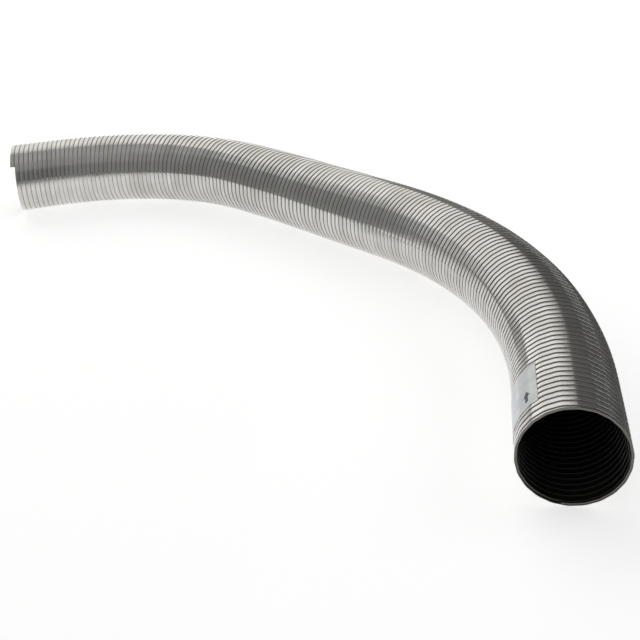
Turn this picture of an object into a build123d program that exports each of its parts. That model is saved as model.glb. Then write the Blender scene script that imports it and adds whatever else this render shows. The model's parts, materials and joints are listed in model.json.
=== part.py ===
from build123d import *
import os
from math import cos, pi, radians, sin

# Flexible air duct wound from one hooked strip. Each turn grips the next and can slide and tilt on it.
# Millimetres, +Z up. The duct lies on z = 0 and bends in the horizontal plane.

# Strip profile. Radii are to the middle of a flat side, and the duct is flat sided inside and out.
bore_radius = 40.0
strip = 0.4  # sheet thickness
inner_wall_top = bore_radius + strip
free_hook_top = 41.25  # inner hook that can move in the turn before it
held_hook_top = 41.76  # inner hook joined to the turn before it
outer_hook_bottom = 40.7
outer_wall_underside = 41.55
outer_radius = 41.97
wall_length = 4.9  # inner wall and outer wall, each measured along the duct with its hook
sides = 22
corner_angle = 2.5  # one corner, measured from straight up towards the right of the flow

# Turns, numbered from the inlet
pitch = 6.75
last_turn = 159
half_turn = wall_length - strip / 2  # from the middle of a turn's web to either end
web = strip / 2
first_centre = half_turn - pitch  # the inlet cut leaves only an outer band of turn 0
tail_notch = (-93.0, -53.0)  # the last turn's strip ends at the second angle; the notch is the step

# Sections that move on each other
inlet_turns = 13
sections = 46
turns_per_section = 3

# Centreline: length in turns and bend radius, None being straight. Every bend turns left.
route = [(21, 545), (42, 435), (21, None), (15, 1180), (21, 248), (19, 310)]
start_x, start_y = 252.1065, -379.8760
start_heading = 80.0
axis_height = outer_radius / cos(pi / sides) * cos(radians(corner_angle))

# Label stuck round the left side of the inlet end
label_start = 23.0
label_length = 58.0
label_thickness = 0.15
label_from, label_to = -37.0, -100.0


def turn_centre(number):
    """Distance of a turn's web from the inlet, along the centreline."""
    return first_centre + number * pitch


duct_length = turn_centre(last_turn) + half_turn


def station(distance):
    """Plane across the duct at this distance: local z along the flow, local x straight up."""
    x, y, heading = start_x, start_y, radians(start_heading)
    left = distance
    lengths = [(turn_centre(inlet_turns), None)]
    lengths += [(count * pitch, radius) for count, radius in route]
    lengths += [(duct_length, None)]
    for length, radius in lengths:
        run = min(left, length)
        if radius is None:
            x += run * cos(heading)
            y += run * sin(heading)
        else:
            after = heading + run / radius
            x += radius * (sin(after) - sin(heading))
            y += radius * (cos(heading) - cos(after))
            heading = after
        left -= run
        if left <= 0:
            break
    return Plane(origin=(x, y, axis_height), x_dir=(0, 0, 1), z_dir=(cos(heading), sin(heading), 0))


def outer_corner(angle, offset=0.0):
    """Point on the flat-sided outer face at this angle, moved outwards by the offset."""
    step = 360 / sides
    middle = corner_angle + step * ((angle - corner_angle) // step + 0.5)
    radius = (outer_radius + offset) / cos(radians(angle - middle))
    return (radius * cos(radians(angle)), radius * sin(radians(angle)))


def turn(layers, round_bore=False):
    """One turn, built from flat-sided sleeves given as (inner radius, outer radius, start, end)."""
    with BuildPart() as shape:
        for inner, outer, start, end in layers:
            with BuildSketch(Plane.XY.offset(start)):
                RegularPolygon(outer, sides, major_radius=False, rotation=corner_angle)
                if round_bore and inner == bore_radius:
                    Circle(inner, mode=Mode.SUBTRACT)
                else:
                    RegularPolygon(
                        inner, sides, major_radius=False, rotation=corner_angle, mode=Mode.SUBTRACT
                    )
            extrude(amount=end - start)
    return shape.part


def inner_half(hook_top):
    """The hook at the inlet side of a turn, its inner wall and its web."""
    return [
        (inner_wall_top, hook_top, -half_turn, strip - half_turn),
        (bore_radius, inner_wall_top, -half_turn, web),
        (inner_wall_top, outer_radius, -web, web),
    ]


def outer_half(start):
    """The outer wall of a turn from this distance on, and the hook that ends it."""
    return [
        (outer_wall_underside, outer_radius, start, half_turn),
        (outer_hook_bottom, outer_wall_underside, half_turn - strip, half_turn),
    ]


loose_turn = turn(inner_half(free_hook_top) + outer_half(web))
first_end_turn = turn(inner_half(free_hook_top) + outer_half(web), round_bore=True)
held_turn = turn(inner_half(held_hook_top) + outer_half(web), round_bore=True)
inlet_band = turn(outer_half(-first_centre))

with BuildPart() as tail_turn:
    add(held_turn)
    with BuildSketch(Plane.XY.offset(-web)):
        with BuildLine():
            reach = 2 * outer_radius
            Polyline(
                (0, 0),
                *[(reach * cos(radians(a)), reach * sin(radians(a))) for a in tail_notch],
                close=True,
            )
        make_face()
    extrude(amount=pitch, mode=Mode.SUBTRACT)

os.makedirs("parts", exist_ok=True)

with BuildPart() as inlet_end:
    with Locations(station(0).offset(first_centre)):
        add(inlet_band)
    with Locations([station(turn_centre(n)) for n in range(1, inlet_turns + 1)]):
        add(held_turn)
inlet_end.part.label = "inlet_end"
export_step(inlet_end.part, "parts/inlet_end.step", write_pcurves=False)

for index in range(sections):
    first = inlet_turns + 1 + index * turns_per_section
    with BuildPart() as section:
        with Locations([station(turn_centre(first + n)) for n in range(turns_per_section)]):
            add(loose_turn)
    name = f"section_{index + 1:02d}"
    section.part.label = name
    export_step(section.part, f"parts/{name}.step", write_pcurves=False)

outlet_first = inlet_turns + 1 + sections * turns_per_section
with BuildPart() as outlet_end:
    with Locations(station(turn_centre(outlet_first))):
        add(first_end_turn)
    with Locations([station(turn_centre(n)) for n in range(outlet_first + 1, last_turn)]):
        add(held_turn)
    with Locations(station(turn_centre(last_turn))):
        add(tail_turn)
outlet_end.part.label = "outlet_end"
export_step(outlet_end.part, "parts/outlet_end.step", write_pcurves=False)

corners = [corner_angle + 360 / sides * n for n in range(-sides, 0)]
label_angles = [label_to] + [a for a in corners if label_to < a < label_from] + [label_from]
with BuildPart() as label:
    with BuildSketch(station(label_start)):
        with BuildLine():
            Polyline(
                *[outer_corner(a) for a in label_angles],
                *[outer_corner(a, label_thickness) for a in reversed(label_angles)],
                close=True,
            )
        make_face()
    extrude(amount=label_length)
label.part.label = "label"
export_step(label.part, "parts/label.step")
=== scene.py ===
import json
import math

import bmesh
import bpy
import numpy as np
from mathutils import Matrix, Vector


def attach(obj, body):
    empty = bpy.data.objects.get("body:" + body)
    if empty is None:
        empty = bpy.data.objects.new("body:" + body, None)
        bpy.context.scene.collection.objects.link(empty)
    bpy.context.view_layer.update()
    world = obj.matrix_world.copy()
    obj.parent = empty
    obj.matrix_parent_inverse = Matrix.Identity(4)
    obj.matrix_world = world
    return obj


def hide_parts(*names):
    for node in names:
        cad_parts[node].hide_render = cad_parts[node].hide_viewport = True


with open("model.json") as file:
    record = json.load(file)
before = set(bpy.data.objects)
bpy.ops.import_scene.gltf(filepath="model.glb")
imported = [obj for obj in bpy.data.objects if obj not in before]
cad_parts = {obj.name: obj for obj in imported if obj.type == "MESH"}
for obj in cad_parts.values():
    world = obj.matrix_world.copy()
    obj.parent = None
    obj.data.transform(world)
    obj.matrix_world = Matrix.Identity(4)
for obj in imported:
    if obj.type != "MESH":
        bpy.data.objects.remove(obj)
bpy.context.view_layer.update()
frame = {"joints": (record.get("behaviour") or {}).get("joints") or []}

# The flexible air duct: one hooked strip wound round a flat-sided former, with a label near its inlet.
# Metres, in the frame of the CAD model.
# Angles round the duct run from straight up towards the right of the flow.

MM = 0.001

# Strip profile: the sizes of the CAD model, except that the inner wall is doubled back and so lies thicker
BORE = 40.0 * MM
SHEET = 0.4 * MM
INNER_WALL_TOP = 41.2 * MM
FREE_HOOK_TOP = 41.48 * MM
OUTER_HOOK_BOTTOM = 41.26 * MM
OUTER_RADIUS = 41.97 * MM
WALL_LENGTH = 4.9 * MM
HALF_TURN = WALL_LENGTH - SHEET / 2
SIDES = 22
CORNER_ANGLE = 2.5

# Turns and centreline, as in the CAD model
PITCH = 6.75 * MM
LAST_TURN = 159
FIRST_CENTRE = HALF_TURN - PITCH  # where turn 0 lies, the one that the inlet's plane cuts through
LENGTH = FIRST_CENTRE + LAST_TURN * PITCH + HALF_TURN
INLET_TURNS = 13
SECTIONS = 46
TURNS_PER_SECTION = 3
ROUTE = [(21, 545), (42, 435), (21, None), (15, 1180), (21, 248), (19, 310)]  # (turns, bend radius in mm)
START = (252.1065 * MM, -379.876 * MM)
START_HEADING = 80.0
AXIS_HEIGHT = OUTER_RADIUS / math.cos(math.pi / SIDES) * math.cos(math.radians(CORNER_ANGLE))

# Each lock has play, so the turns lie wider or closer than PITCH: (distance, spacing), straight between
SPACING = [
    (0.00, 7.05), (0.08, 7.2), (0.15, 7.75), (0.24, 7.55), (0.36, 6.8), (0.46, 6.3), (0.53, 6.0),
    (0.60, 6.35), (0.68, 6.95), (0.77, 7.2), (0.86, 6.7), (0.95, 6.2), (1.00, 6.0), (1.08, 5.6),
]  # fmt: skip

# The winding: the strip turns backwards round the axis as it goes along, and ends at TAIL_ANGLE
TAIL_ANGLE = -53.0
FOLD_WIDTH = 2.2  # degrees that the fold at each corner of the polygon takes on either side
START_TURN = -1.0  # far enough before the inlet's plane to fill it all round

# Small differences between turns: how far each is shifted along the duct and sunk in, at most
SEED = 7
SHIFT = 0.13 * MM
DEPTH = 0.03 * MM
EASE_IN = 0.5  # turn number from which the shift grows
EASE_TURNS = 2  # turns over which it grows at the inlet and fades out at the outlet

# Rim at the inlet: outline of its cut in (radius, distance along the flow)
RIM_OUTLINE = [
    (41.35 * MM, 0.0),
    (41.9 * MM, 0.0),
    (41.93 * MM, 0.03 * MM),
    (41.93 * MM, 0.9 * MM),
    (41.35 * MM, 0.9 * MM),
]
RIM_DEPTH = 0.45 * MM  # how far the cut edges of the layers lie behind the rim's edge
RIM_SHADE_PLACE = 12.85  # place round the strip's outline, in mm, whose colour the rim takes: the bore's darker colour, which is painted shade

# The turns at the outlet lean a little, their right sides drawn back, and the inlet is pushed to the right
OUTLET_LEAN = 8.0
LEAN_SPAN = (0.80, 1.06)  # distances between which the lean grows
INLET_SWAY = 1.4 * MM
SWAY_SPAN = 0.11  # distance at which the push has died out

# Label, as in the CAD model
LABEL_START = 23.0 * MM
LABEL_LENGTH = 58.0 * MM
LABEL_THICKNESS = 0.15 * MM
LABEL_GLUE = 0.15  # share of the thickness that lies under the film
LABEL_ANGLES = (-100.0, -37.0)
LABEL_ROWS = 90
LABEL_STEPS = 58

# Camera
CAMERA_PLACE = (0.0782, -1.0318, 0.4893)
CAMERA_DOWN = 26.513
CAMERA_ROLL = 3.331
CAMERA_LENS = 61.6


def centreline(distance):
    """Place and heading of the centreline at this distance from the inlet."""
    x, y, heading = START[0], START[1], math.radians(START_HEADING)
    left = distance
    lengths = [(FIRST_CENTRE + INLET_TURNS * PITCH, None)]
    lengths += [(count * PITCH, radius) for count, radius in ROUTE]
    lengths += [(LENGTH, None)]
    for length, radius in lengths:
        run = min(left, length)
        if radius is None:
            x += run * math.cos(heading)
            y += run * math.sin(heading)
        else:
            after = heading + run / (radius * MM)
            x += radius * MM * (math.sin(after) - math.sin(heading))
            y += radius * MM * (math.cos(heading) - math.cos(after))
            heading = after
        left -= run
        if left <= 0:
            break
    return x, y, heading


def lay_turns():
    """Turn numbers at a row of distances along the duct, from the spacing of the turns."""
    samples = 4001
    distances = np.linspace(FIRST_CENTRE - 2 * PITCH, LENGTH, samples)
    spacing = np.interp(distances, *zip(*SPACING)) * MM
    steps = np.diff(distances) * 2 / (spacing[1:] + spacing[:-1])
    counts = np.concatenate([[0.0], np.cumsum(steps)])
    end = np.interp(LENGTH - HALF_TURN, distances, counts)
    start = np.interp(FIRST_CENTRE, distances, counts)
    return distances, (counts - start) * LAST_TURN / (end - start)


DISTANCES, TURNS = lay_turns()


def turn_centre(number):
    """Distance of the middle of this turn, as the strip lies."""
    return float(np.interp(number, TURNS, DISTANCES))


def lock_distance(index):
    """Distance of a moving lock: number 1 lies between the inlet end and the first section."""
    return FIRST_CENTRE + (INLET_TURNS + TURNS_PER_SECTION * (index - 1) + 0.5) * PITCH


def turn_at(distance):
    """Turn number at this distance, as the strip lies."""
    return float(np.interp(distance, DISTANCES, TURNS))


def eased(value, start, end):
    """0 before start, 1 after end, and smooth between."""
    share = min(1.0, max(0.0, (value - start) / (end - start)))
    return share * share * (3 - 2 * share)


def duct_point(distance, radius, angle, along=0.0):
    """Point at this radius and angle round the axis, moved along the flow from the station at distance."""
    x, y, heading = centreline(distance)
    side, up = radius * math.sin(angle), radius * math.cos(angle)
    lean = math.tan(math.radians(OUTLET_LEAN)) * eased(distance, *LEAN_SPAN)
    along -= (side + OUTER_RADIUS) * lean
    sway = INLET_SWAY * (1 - eased(distance, 0.0, SWAY_SPAN))
    return (
        x + math.sin(heading) * side + math.cos(heading) * along + sway,
        y - math.cos(heading) * side + math.sin(heading) * along,
        AXIS_HEIGHT + up,
    )


# ---------------------------------------------------------------- strip


def arc(centre, radius, start, end, steps):
    """Points on an arc in the (radius, along) plane, angles in degrees from the radial direction."""
    angles = np.radians(np.linspace(start, end, steps + 1))
    return [(centre[0] + radius * math.cos(a), centre[1] + radius * math.sin(a)) for a in angles]


def strip_outline():
    """Closed outline of the rolled strip in (radius, distance along the flow from its web)."""
    bend, web, half, crown = 0.4 * MM, SHEET / 2, HALF_TURN, 0.07 * MM
    inner_bend = 0.18 * MM
    wall_top, underside = INNER_WALL_TOP, OUTER_RADIUS - SHEET
    outline = [(FREE_HOOK_TOP, -half)]
    outline += arc((BORE + inner_bend, -half + inner_bend), inner_bend, 270, 180, 2)
    outline += arc((BORE + inner_bend, web - inner_bend), inner_bend, 180, 90, 2)
    outline += [(underside, web), (underside, half - SHEET)]
    outline += [(OUTER_HOOK_BOTTOM, half - SHEET), (OUTER_HOOK_BOTTOM, half)]
    outline += arc((OUTER_RADIUS - crown - bend, half - bend), bend, 90, 0, 3)
    outline += [(OUTER_RADIUS, (half - web) / 2)]
    outline += arc((OUTER_RADIUS - crown - bend, -web + bend), bend, 0, -90, 3)
    outline += [(wall_top, -web), (wall_top, SHEET - half), (FREE_HOOK_TOP, SHEET - half)]
    return outline


def flat_sided(angle):
    """Factor that turns a radius at a flat's middle into the radius at this angle, in degrees."""
    step = 360 / SIDES
    from_middle = (angle - CORNER_ANGLE) % step - step / 2
    return 1 / math.cos(math.radians(from_middle))


def first_corner():
    """Turn number, within one side's length of turn 0, at which a corner of the polygon stands."""
    return (LAST_TURN + (TAIL_ANGLE - CORNER_ANGLE) / 360) % (1 / SIDES)


def flat_middle(number):
    """Turn number of the middle of the flat in which this turn number lies."""
    return (math.floor((number - first_corner()) * SIDES) + 0.5) / SIDES + first_corner()


def strip_columns(first, last):
    """Turn numbers of the columns of points of one length of strip: its ends, and two at each corner."""
    fold = FOLD_WIDTH / 360
    numbers = [first, last]
    sides = [(number - first_corner()) * SIDES for number in (first, last)]
    for k in range(math.floor(sides[0]), math.ceil(sides[1]) + 1):
        corner = first_corner() + k / SIDES
        for number in (corner - fold, corner + fold):
            if first + fold / 2 < number < last - fold / 2:
                numbers.append(number)
    return sorted(numbers)


def strip_angle(number):
    """Angle round the axis, in degrees, at which the strip stands at this turn number."""
    return TAIL_ANGLE + 360 * (LAST_TURN - number)


rng = np.random.default_rng(SEED)
SPARE = 8  # values for the turns just before the inlet and after the outlet
PLAY = rng.uniform(-1, 1, LAST_TURN + SPARE)
DENT = rng.uniform(0, 1, LAST_TURN + SPARE)


def smooth_noise(values, number):
    """The list of values read at a turn number, eased from one to the next."""
    turn = math.floor(number)
    share = eased(number, turn, turn + 1)
    base = turn + 3
    return values[base] * (1 - share) + values[base + 1] * share


OUTLINE = strip_outline()


def land_span():
    """Lengths along the outline, in mm, at which the outer land's polished face starts and ends."""
    lengths, total = [], 0.0
    for a, b in zip(OUTLINE, OUTLINE[1:] + OUTLINE[:1]):
        lengths.append(total)
        total += math.dist(a, b) / MM
    edge = OUTER_RADIUS - 0.3 * MM
    polished = [length for length, (radius, along) in zip(lengths, OUTLINE) if radius > edge]
    return polished[0], polished[-1]


def strip_mesh(name, first, last):
    """Closed mesh of the strip between two turn numbers, with the winding in its UV map."""
    numbers = strip_columns(first, last)
    points, columns = [], len(OUTLINE)
    for number in numbers:
        angle = strip_angle(number)
        from_ends = min(number - EASE_IN, LAST_TURN - number) / EASE_TURNS
        shift = SHIFT * min(1.0, max(0.0, from_ends)) * smooth_noise(PLAY, number)
        centre = turn_centre(number) + shift
        sunk = DEPTH * smooth_noise(DENT, number + 0.37)  # out of step with the shift
        factor = flat_sided(angle)
        station = max(centre, 0.0)
        for radius, along in OUTLINE:
            along += centre - station
            points.append(duct_point(station, (radius - sunk) * factor, math.radians(angle), along))
    faces, uvs = [], []
    lengths = [0.0]
    for a, b in zip(OUTLINE, OUTLINE[1:] + OUTLINE[:1]):
        lengths.append(lengths[-1] + math.dist(a, b))
    for i in range(len(numbers) - 1):
        for j in range(columns):
            k = (j + 1) % columns
            faces.append((i * columns + j, (i + 1) * columns + j, (i + 1) * columns + k, i * columns + k))
            u0, u1, v0, v1 = numbers[i], numbers[i + 1], lengths[j] / MM, lengths[j + 1] / MM
            uvs += [(u0, v0), (u1, v0), (u1, v1), (u0, v1)]
    faces.append(tuple(range(columns)))
    uvs += [(numbers[0], 0.0)] * columns
    base = (len(numbers) - 1) * columns
    faces.append(tuple(base + j for j in reversed(range(columns))))
    uvs += [(numbers[-1], 0.0)] * columns
    mesh = bpy.data.meshes.new(name)
    mesh.from_pydata(points, [], faces)
    layer = mesh.uv_layers.new(name="winding")
    layer.data.foreach_set("uv", np.array(uvs, np.float32).ravel())
    mesh.validate()
    mesh.update()
    piece = bpy.data.objects.new(name, mesh)
    bpy.context.scene.collection.objects.link(piece)
    return piece


def apply_modifiers(piece):
    graph = bpy.context.evaluated_depsgraph_get()
    mesh = bpy.data.meshes.new_from_object(piece.evaluated_get(graph), depsgraph=graph)
    piece.modifiers.clear()
    piece.data = mesh


def finish_normals(piece):
    """Faces outwards, the flats shaded flat, and the strip's bends and the polygon's folds shaded round."""
    work = bmesh.new()
    work.from_mesh(piece.data)
    bmesh.ops.recalc_face_normals(work, faces=work.faces)
    for face in work.faces:
        face.smooth = True
    for edge in work.edges:
        edge.smooth = edge.calc_face_angle(0.0) < math.radians(50)
    work.to_mesh(piece.data)
    work.free()
    weighted = piece.modifiers.new("weighted", "WEIGHTED_NORMAL")
    weighted.keep_sharp = True
    weighted.weight = 100
    apply_modifiers(piece)


def add_rim(piece):
    """Narrow flat-sided ring that ends the duct at the inlet, where the layers are pressed together."""
    work = bmesh.new()
    work.from_mesh(piece.data)
    layer = work.loops.layers.uv["winding"]
    rings = []
    for radius, along in RIM_OUTLINE:
        ring = []
        for k in range(2 * SIDES):
            corner = CORNER_ANGLE + 360 / SIDES * (k // 2)
            angle = corner + (FOLD_WIDTH if k % 2 else -FOLD_WIDTH)
            point = duct_point(0.0, radius * flat_sided(angle), math.radians(angle), along)
            ring.append(work.verts.new(point))
        rings.append(ring)
    for a, b in zip(rings, rings[1:] + rings[:1]):
        for k in range(2 * SIDES):
            m = (k + 1) % (2 * SIDES)
            face = work.faces.new((a[k], a[m], b[m], b[k]))
            for loop in face.loops:
                # the rim reads the bore's darker colour from the steel material: painted shade on the rim
                loop[layer].uv = (k / (2 * SIDES), RIM_SHADE_PLACE)
    work.to_mesh(piece.data)
    work.free()


def cut_square(piece):
    """Cuts off what lies before the inlet's plane, and adds the rim."""
    x, y, _ = duct_point(0.0, 0.0, 0.0, RIM_DEPTH)
    heading = math.radians(START_HEADING)
    size = 0.4  # metres, far wider than the duct
    bpy.ops.mesh.primitive_cube_add(size=size)
    block = bpy.context.object
    block.matrix_world = Matrix.Translation(
        (x - math.cos(heading) * size / 2, y - math.sin(heading) * size / 2, AXIS_HEIGHT)
    ) @ Matrix.Rotation(heading, 4, "Z")
    cut = piece.modifiers.new("cut", "BOOLEAN")
    cut.operation = "DIFFERENCE"
    cut.solver = "EXACT"
    cut.object = block
    bpy.context.view_layer.update()
    apply_modifiers(piece)
    bpy.data.objects.remove(block)
    add_rim(piece)


def section_name(index):
    """Body of this number along the duct: the inlet end, the sections, then the outlet end."""
    if index == 0:
        return "inlet_end"
    if index > SECTIONS:
        return "outlet_end"
    return f"section_{index:02d}"


def lock_number(joint):
    return int(joint["name"].split("_")[1])


def lock_angles():
    """For each moving lock, the places round the duct, in degrees, that its motion shifts the least."""
    places = {"bend": (0.0, 180.0), "lift": (90.0, 270.0), "stretch": (180.0,)}
    joints = sorted(frame["joints"], key=lock_number)
    return [places[joint["name"].split("_")[0]] for joint in joints]


def cut_numbers():
    """Turn numbers where the strip passes from one body to the next: near each moving lock, in mid-flat."""
    numbers = []
    for index, angles in enumerate(lock_angles(), start=1):
        lock = turn_at(lock_distance(index))
        places = [LAST_TURN + (TAIL_ANGLE - angle) / 360 for angle in angles]
        choices = [place + round(lock - place) for place in places]
        numbers.append(flat_middle(min(choices, key=lambda number: abs(number - lock))))
    return numbers


def wind_strip(metal):
    """The whole strip, one length for each body, so that each turn beside a moving lock stays whole."""
    ends = [START_TURN, *cut_numbers(), LAST_TURN]
    for index, (first, last) in enumerate(zip(ends, ends[1:])):
        piece = strip_mesh(f"strip_{index:02d}", first, last)
        if index == 0:
            cut_square(piece)
        finish_normals(piece)
        piece.data.materials.clear()
        piece.data.materials.append(metal)
        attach(piece, section_name(index))
        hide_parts(section_name(index))


# ---------------------------------------------------------------- label


def make_label(paper):
    """A film label stuck down on the lands of the turns, which follows the flats."""
    rows, steps = LABEL_ROWS, LABEL_STEPS
    low, high = LABEL_ANGLES
    work = bmesh.new()
    layer = work.loops.layers.uv.new("label")
    sheets = []
    for lift in (LABEL_THICKNESS * LABEL_GLUE, LABEL_THICKNESS):
        grid = []
        for i in range(rows + 1):
            angle = low + (high - low) * i / rows
            line = []
            for j in range(steps + 1):
                along = LABEL_START + LABEL_LENGTH * j / steps
                radius = (OUTER_RADIUS + lift) * flat_sided(angle)
                line.append(work.verts.new(duct_point(along, radius, math.radians(angle))))
            grid.append(line)
        sheets.append(grid)
    under, over = sheets

    def face(corners, uv):
        made = work.faces.new(corners)
        made.smooth = True
        for loop, (u, v) in zip(made.loops, uv):
            loop[layer].uv = (u, v)

    for grid in sheets:
        for i in range(rows):
            for j in range(steps):
                u0, u1, v0, v1 = j / steps, (j + 1) / steps, i / rows, (i + 1) / rows
                corners = (grid[i][j], grid[i][j + 1], grid[i + 1][j + 1], grid[i + 1][j])
                face(corners, ((u0, v0), (u1, v0), (u1, v1), (u0, v1)))
    for i in range(rows):
        for j in (0, steps):
            uv = [(j / steps, i / rows)] * 4
            face((under[i][j], under[i + 1][j], over[i + 1][j], over[i][j]), uv)
    for j in range(steps):
        for i in (0, rows):
            uv = [(j / steps, i / rows)] * 4
            face((under[i][j], under[i][j + 1], over[i][j + 1], over[i][j]), uv)
    bmesh.ops.recalc_face_normals(work, faces=work.faces)
    mesh = bpy.data.meshes.new("duct_label")
    work.to_mesh(mesh)
    work.free()
    piece = bpy.data.objects.new("duct_label", mesh)
    bpy.context.scene.collection.objects.link(piece)
    mesh.materials.append(paper)
    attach(piece, "inlet_end")
    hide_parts("label")
    return piece


# ---------------------------------------------------------------- materials


def new_material(name):
    """The material, its nodes and links, and its shader."""
    material = bpy.data.materials.new(name)
    material.use_nodes = True
    nodes = material.node_tree.nodes
    return material, nodes, material.node_tree.links, nodes["Principled BSDF"]


def ramp(nodes, stops):
    """Colour ramp with these (place, grey or colour) stops."""
    node = nodes.new("ShaderNodeValToRGB")
    for element, (place, value) in zip(node.color_ramp.elements, stops[:1] + stops[-1:]):
        element.position = place
        element.color = value if isinstance(value, tuple) else (value, value, value, 1)
    for place, value in stops[1:-1]:
        element = node.color_ramp.elements.new(place)
        element.color = value if isinstance(value, tuple) else (value, value, value, 1)
    return node


def noise(nodes, links, source, scale, detail, stretch=None):
    """Noise texture read from a socket, with the coordinates stretched first if asked."""
    if stretch:
        mapping = nodes.new("ShaderNodeMapping")
        mapping.inputs["Scale"].default_value = stretch
        links.new(source, mapping.inputs["Vector"])
        source = mapping.outputs["Vector"]
    texture = nodes.new("ShaderNodeTexNoise")
    texture.inputs["Scale"].default_value = scale
    texture.inputs["Detail"].default_value = detail
    links.new(source, texture.inputs["Vector"])
    return texture.outputs["Fac"]


def mixed(nodes, links, kind, factor, a, b):
    """Colour mix of two sockets; factor is a number or a socket."""
    node = nodes.new("ShaderNodeMix")
    node.data_type = "RGBA"
    node.blend_type = kind
    if isinstance(factor, float):
        node.inputs["Factor"].default_value = factor
    else:
        links.new(factor, node.inputs["Factor"])
    links.new(a, node.inputs["A"])
    links.new(b, node.inputs["B"])
    return node.outputs["Result"]


def remap(nodes, links, source, low, high, start=0.0, end=1.0):
    """Socket that goes from low to high as the source goes from start to end."""
    node = nodes.new("ShaderNodeMapRange")
    node.inputs["From Min"].default_value = start
    node.inputs["From Max"].default_value = end
    node.inputs["To Min"].default_value = low
    node.inputs["To Max"].default_value = high
    links.new(source, node.inputs["Value"])
    return node.outputs["Result"]


def grey_range(nodes, links, source, low, high, span):
    """Colour that goes from low to high as the source goes over its span."""
    tone = ramp(nodes, [(span[0], (*low, 1)), (span[1], (*high, 1))])
    links.new(source, tone.inputs["Fac"])
    return tone.outputs["Color"]


def bump(nodes, links, source, shader, strength, distance):
    """Gives the shader a relief read from the source; the distance is in metres."""
    node = nodes.new("ShaderNodeBump")
    node.inputs["Strength"].default_value = strength
    node.inputs["Distance"].default_value = distance
    links.new(source, node.inputs["Height"])
    links.new(node.outputs["Normal"], shader.inputs["Normal"])


def steel_material(land_start, land_end):
    """Bright rolled strip, with lines along the winding, stains, and painted shade: the hidden faces in the
    gaps and the bore are given darker colours, and are rougher.

    The outer land lies between the two given places, in mm, round the strip's outline.
    """
    material, nodes, links, shader = new_material("rolled_steel")
    shader.inputs["Metallic"].default_value = 1.0
    uv = nodes.new("ShaderNodeUVMap")
    uv.uv_map = "winding"
    winding = uv.outputs["UV"]
    place = nodes.new("ShaderNodeTexCoord").outputs["Object"]
    lines = noise(nodes, links, winding, 1.0, 6.0, (7.0, 11.0, 1.0))
    turns = noise(nodes, links, winding, 1.0, 3.0, (5.3, 0.02, 1.0))
    clouds = noise(nodes, links, place, 26.0, 4.0)
    polished = grey_range(nodes, links, turns, (0.58, 0.572, 0.55), (0.69, 0.682, 0.66), (0.3, 0.7))
    stain = grey_range(nodes, links, clouds, (0.86, 0.85, 0.82), (1.0, 1.0, 1.0), (0.36, 0.58))
    polished = mixed(nodes, links, "MULTIPLY", 0.75, polished, stain)

    # 1 on the faces that lie before or after the outer land on the strip's outline, which get the painted
    # shade and more roughness
    across = nodes.new("ShaderNodeSeparateXYZ")
    links.new(winding, across.inputs["Vector"])
    v, edge = across.outputs["Y"], 0.1
    before = remap(nodes, links, v, 1.0, 0.0, land_start - edge, land_start + edge)
    after = remap(nodes, links, v, 0.0, 1.0, land_end - edge, land_end + edge)
    hidden = calculate(nodes, links, "MAXIMUM", before, after)

    # Painted shade: the bore and the floors of the gaps between the turns get darker base colours than the
    # land, in place of the shade inside the duct and between the turns
    bore = grey_range(nodes, links, lines, (0.12, 0.115, 0.105), (0.2, 0.195, 0.182), (0.2, 0.8))
    gap = grey_range(nodes, links, lines, (0.34, 0.333, 0.315), (0.46, 0.452, 0.43), (0.2, 0.8))
    painted_shade = mixed(nodes, links, "MIX", before, gap, bore)
    links.new(mixed(nodes, links, "MIX", hidden, polished, painted_shade), shader.inputs["Base Color"])
    roughness = nodes.new("ShaderNodeMath")
    roughness.operation = "MULTIPLY_ADD"
    roughness.inputs[1].default_value = 0.2
    links.new(hidden, roughness.inputs[0])
    links.new(remap(nodes, links, lines, 0.12, 0.26), roughness.inputs[2])
    links.new(roughness.outputs["Value"], shader.inputs["Roughness"])
    bump(nodes, links, lines, shader, 0.05, 0.0002)
    return material


def label_material():
    """Silver-white film with a printed airflow arrow, no lettering."""
    material, nodes, links, shader = new_material("label_film")
    shader.inputs["Metallic"].default_value = 0.35
    shader.inputs["Roughness"].default_value = 0.38
    place = nodes.new("ShaderNodeTexCoord").outputs["Object"]
    uv = nodes.new("ShaderNodeUVMap")
    uv.uv_map = "label"
    grain = noise(nodes, links, place, 90.0, 4.0)
    film = grey_range(nodes, links, grain, (0.66, 0.67, 0.69), (0.82, 0.83, 0.85), (0.3, 0.7))
    mark = arrow_mask(nodes, links, uv.outputs["UV"])
    ink = grey_range(nodes, links, mark, (0.66, 0.67, 0.69), (0.03, 0.03, 0.035), (0.0, 1.0))
    links.new(mixed(nodes, links, "MIX", mark, film, ink), shader.inputs["Base Color"])
    bump(nodes, links, grain, shader, 0.15, 0.0004)
    return material


def calculate(nodes, links, operation, a, b):
    """Maths node on two numbers or sockets."""
    node = nodes.new("ShaderNodeMath")
    node.operation = operation
    for socket, value in zip(node.inputs, (a, b)):
        if isinstance(value, (int, float)):
            socket.default_value = value
        else:
            links.new(value, socket)
    return node.outputs["Value"]


def arrow_mask(nodes, links, coordinates):
    """1 on a printed arrow along the flow, 0 elsewhere; u runs with the flow, v round the duct."""
    parts = nodes.new("ShaderNodeSeparateXYZ")
    links.new(coordinates, parts.inputs["Vector"])
    u, v = parts.outputs["X"], parts.outputs["Y"]
    tail, neck, tip, middle, shaft, barb = 0.14, 0.27, 0.40, 0.77, 0.035, 0.085

    def value(operation, a, b):
        return calculate(nodes, links, operation, a, b)

    aside = value("ABSOLUTE", value("SUBTRACT", v, middle), 0)
    along_shaft = value("MULTIPLY", value("GREATER_THAN", u, tail), value("LESS_THAN", u, neck))
    body = value("MULTIPLY", value("LESS_THAN", aside, shaft), along_shaft)
    width = value("MULTIPLY", value("SUBTRACT", tip, u), barb / (tip - neck))
    head = value("MULTIPLY", value("GREATER_THAN", u, neck), value("LESS_THAN", aside, width))
    return value("MAXIMUM", body, head)


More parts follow.
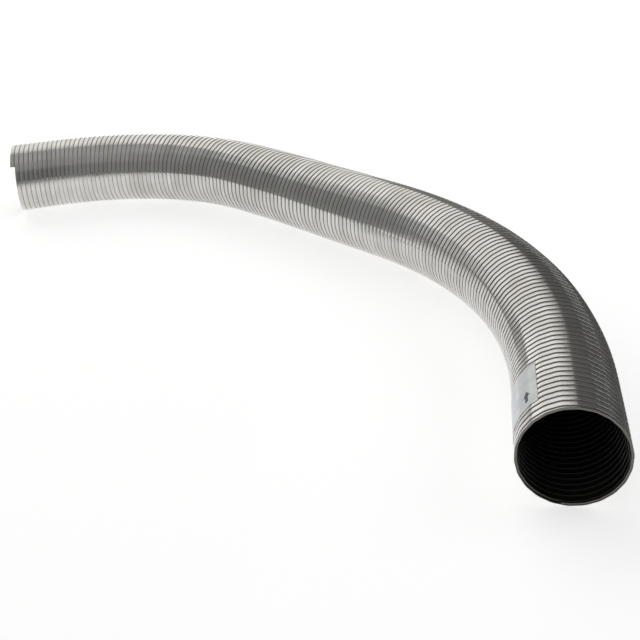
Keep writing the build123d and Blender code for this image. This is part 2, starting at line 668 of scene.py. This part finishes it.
def floor_material():
    """White table top that glows a little, as a lit product table does."""
    material, *_, shader = new_material("white_floor")
    shader.inputs["Base Color"].default_value = (0.9, 0.9, 0.9, 1)
    shader.inputs["Roughness"].default_value = 0.7
    shader.inputs["Specular IOR Level"].default_value = 0.2
    shader.inputs["Emission Color"].default_value = (1, 1, 1, 1)
    shader.inputs["Emission Strength"].default_value = 0.62
    return material


# ---------------------------------------------------------------- stage


def make_floor():
    """Wide level floor, just under the duct's lowest corners."""
    bpy.ops.mesh.primitive_plane_add(size=40, location=(0, 0, -0.0004))
    floor = bpy.context.object
    floor.name = "floor"
    floor.data.materials.append(floor_material())


def add_softbox(name, azimuth, elevation, distance, size, radiance, colour=(1, 1, 1)):
    """Rectangular light that faces the duct, in metres and degrees. Azimuth runs from +Y to +X."""
    a, e = math.radians(azimuth), math.radians(elevation)
    place = Vector((math.sin(a) * math.cos(e), math.cos(a) * math.cos(e), math.sin(e))) * distance
    data = bpy.data.lights.new(name, "AREA")
    data.shape = "RECTANGLE"
    data.size, data.size_y = size
    data.energy = radiance * size[0] * size[1] * math.pi
    data.color = colour
    light = bpy.data.objects.new(name, data)
    light.location = place
    light.rotation_euler = (-place).to_track_quat("-Z", "Y").to_euler()
    light.visible_camera = False
    bpy.context.scene.collection.objects.link(light)


def add_flag(name, low, high):
    """Dark card lying on the floor beside the duct, seen only in its reflections."""
    (x0, y0), (x1, y1) = low, high
    height = 0.0006
    bpy.ops.mesh.primitive_plane_add(size=1, location=((x0 + x1) / 2, (y0 + y1) / 2, height))
    flag = bpy.context.object
    flag.name = name
    flag.scale = (x1 - x0, y1 - y0, 1)
    material, *_, shader = new_material("flag_cloth")
    shader.inputs["Base Color"].default_value = (0.16, 0.16, 0.16, 1)
    shader.inputs["Roughness"].default_value = 1.0
    flag.data.materials.append(material)
    flag.visible_camera = flag.visible_diffuse = flag.visible_shadow = False


def make_lights():
    """A tall softbox behind and to the left, smaller ones at its sides, a dim room, and two dark cards."""
    warm = (1.0, 0.99, 0.96)
    add_softbox("back_softbox", -16, 26, distance=3.0, size=(2.9, 3.6), radiance=0.82, colour=warm)
    add_softbox("side_softbox", -54, 22, distance=3.0, size=(0.9, 2.4), radiance=0.42)
    add_softbox("low_softbox", -9, 1, distance=3.4, size=(1.0, 1.0), radiance=0.8)
    add_softbox("right_softbox", 92, 36, distance=3.0, size=(1.6, 1.2), radiance=1.3)
    add_flag("right_flag", (0.35, -1.0), (3.35, 3.0))
    add_flag("front_flag", (-3.0, -3.0), (0.02, 0.07))
    world = bpy.data.worlds.new("studio")
    bpy.context.scene.world = world
    world.use_nodes = True
    nodes, links = world.node_tree.nodes, world.node_tree.links
    room = nodes["Background"]
    place = nodes.new("ShaderNodeTexCoord")
    towards = nodes.new("ShaderNodeSeparateXYZ")
    links.new(place.outputs["Generated"], towards.inputs["Vector"])
    height = ramp(nodes, [(0.0, 0.24), (0.6, 0.28), (0.85, 0.40), (1.0, 0.46)])
    links.new(towards.outputs["Z"], height.inputs["Fac"])
    side = ramp(nodes, [(0.1, 1.0), (0.3, 0.45)])
    links.new(towards.outputs["X"], side.inputs["Fac"])
    tone = mixed(nodes, links, "MULTIPLY", 1.0, height.outputs["Color"], side.outputs["Color"])
    links.new(tone, room.inputs["Color"])
    backdrop = nodes.new("ShaderNodeBackground")
    backdrop.inputs["Color"].default_value = (1, 1, 1, 1)
    path = nodes.new("ShaderNodeLightPath")
    mix = nodes.new("ShaderNodeMixShader")
    links.new(path.outputs["Is Camera Ray"], mix.inputs["Fac"])
    links.new(room.outputs["Background"], mix.inputs[1])
    links.new(backdrop.outputs["Background"], mix.inputs[2])
    links.new(mix.outputs["Shader"], nodes["World Output"].inputs["Surface"])


def make_camera():
    """Looks level along +Y, tipped down, then rolled."""
    down, roll = math.radians(CAMERA_DOWN), math.radians(CAMERA_ROLL)
    forward = Vector((0, math.cos(down), -math.sin(down)))
    level_up = Vector((0, math.sin(down), math.cos(down)))
    level_right = Vector((1, 0, 0))
    up = math.cos(roll) * level_up + math.sin(roll) * level_right
    right = math.cos(roll) * level_right - math.sin(roll) * level_up
    data = bpy.data.cameras.new("camera")
    data.sensor_width = 36.0
    data.lens = CAMERA_LENS
    data.clip_start, data.clip_end = 0.05, 50
    camera = bpy.data.objects.new("camera", data)
    turn = Matrix((right, up, -forward)).transposed().to_4x4()
    camera.matrix_world = Matrix.Translation(CAMERA_PLACE) @ turn
    bpy.context.scene.collection.objects.link(camera)
    bpy.context.scene.camera = camera


wind_strip(steel_material(*land_span()))
make_label(label_material())
make_floor()
make_lights()
make_camera()
bpy.context.scene.view_settings.view_transform = "Standard"
